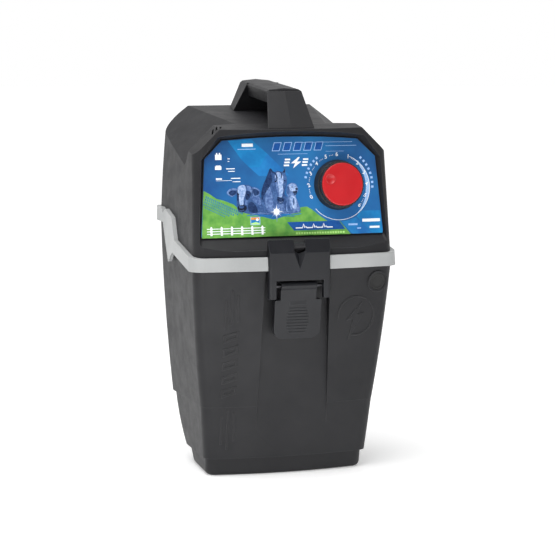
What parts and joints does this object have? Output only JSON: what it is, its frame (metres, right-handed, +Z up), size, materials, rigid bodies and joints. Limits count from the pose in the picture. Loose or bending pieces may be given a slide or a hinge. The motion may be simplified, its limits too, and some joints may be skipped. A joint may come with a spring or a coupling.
{
  "type": "electric fence energizer",
  "caption": "Portable battery-powered electric fence energizer: tapered battery tub with a hinged electronics lid, front dial, draw latch and carrying handle.",
  "frame": {"origin": "on the ground plane, under the middle of the base", "axes": "+Z up, front face with the dial towards -Y, +X to the right of the front"},
  "size_m": [0.2448, 0.222, 0.4485],
  "materials": {
    "case_plastic": "fine moulded grain",
    "band_plastic": "satin moulded",
    "latch_plastic": "satin moulded",
    "rubber_black": "matt",
    "pin_black": "blackened",
    "zinc_steel": "zinc plated",
    "stud_brass": "turned",
    "battery_plastic": "matt",
    "battery_tab": "tinned",
    "panel_plastic": "matt",
    "label_film": "printed satin film",
    "lamp_lens": "clear",
    "knob_black": "satin",
    "knob_red": "satin",
    "board_green": "solder resist",
    "core_steel": "laminated",
    "winding_tape": "wound tape",
    "capacitor_sleeve": "shrink sleeve",
    "bush_white": "gloss",
    "clamp_red": "gloss",
    "clamp_green": "gloss"
  },
  "bodies": {
    "root": {"tub": "case_plastic", "gasket": "rubber_black", "blank_plug": "rubber_black", "hinge_brackets": "case_plastic", "hinge_pins": "zinc_steel", "battery_case": "battery_plastic", "battery_terminals": "battery_tab", "latch_keeper": "zinc_steel", "keeper_screws": "zinc_steel"},
    "lid": {"lid_shell": "case_plastic", "hinge_arms": "case_plastic", "latch_lug": "case_plastic", "trim_band": "band_plastic", "handle": "case_plastic", "handle_screws": "zinc_steel", "front_panel": "panel_plastic", "panel_label": "label_film", "pulse_lamp": "lamp_lens", "selector_switch": "knob_black", "lid_tray": "case_plastic", "tray_screws": "zinc_steel", "board_posts": "case_plastic", "circuit_board": "board_green", "board_screws": "zinc_steel", "transformer_core": "core_steel", "transformer_winding": "winding_tape", "storage_capacitor": "capacitor_sleeve", "fence_bush": "bush_white", "fence_stud": "stud_brass", "earth_bush": "bush_white", "earth_stud": "stud_brass"},
    "selector_knob": {"knob_skirt": "knob_black", "knob_cap": "knob_red", "selector_shaft": "zinc_steel"},
    "strap": {"latch_strap": "latch_plastic", "strap_pin": "pin_black", "lever_pin": "pin_black"},
    "lever": {"latch_lever": "latch_plastic"},
    "fence_clamp": {"fence_washer": "zinc_steel"},
    "fence_thumb_nut": {"fence_clamp_knob": "clamp_red"},
    "earth_clamp": {"earth_washer": "zinc_steel"},
    "earth_thumb_nut": {"earth_clamp_knob": "clamp_green"}
  },
  "joints": [
    {"name": "lid_hinge", "type": "hinge", "parent": "root", "child": "lid", "pos_m": [0, 0.101, 0.291], "axis": [-1, 0, 0], "range_deg": [0, 100]},
    {"name": "selector_turn", "type": "hinge", "parent": "lid", "child": "selector_knob", "pos_m": [0.055, -0.0731, 0.332], "axis": [0, -0.9925, 0.1219], "range_deg": [-212, 46]},
    {"name": "strap_pivot", "type": "hinge", "parent": "lid", "child": "strap", "pos_m": [0, -0.0992, 0.267], "axis": [-1, 0, 0], "range_deg": [0, 95]},
    {"name": "lever_pivot", "type": "hinge", "parent": "strap", "child": "lever", "pos_m": [0, -0.098, 0.222], "axis": [-1, 0, 0], "range_deg": [0, 105]},
    {"name": "fence_clamp_slide", "type": "slide", "parent": "lid", "child": "fence_clamp", "axis": [0, 1, 0], "range_m": [0, 0.00301]},
    {"name": "fence_nut_turn", "type": "hinge", "parent": "fence_clamp", "child": "fence_thumb_nut", "pos_m": [-0.038, 0.1035, 0.35], "axis": [0, 1, 0], "range_deg": [0, 1080]},
    {"name": "earth_clamp_slide", "type": "slide", "parent": "lid", "child": "earth_clamp", "axis": [0, 1, 0], "range_m": [0, 0.00301]},
    {"name": "earth_nut_turn", "type": "hinge", "parent": "earth_clamp", "child": "earth_thumb_nut", "pos_m": [0.038, 0.1035, 0.35], "axis": [0, 1, 0], "range_deg": [0, 1080]}
  ],
  "couplings": [
    {"joint": "fence_clamp_slide", "follows": "fence_nut_turn", "m_per_rad": 0.00015915},
    {"joint": "earth_clamp_slide", "follows": "earth_nut_turn", "m_per_rad": 0.00015915}
  ]
}
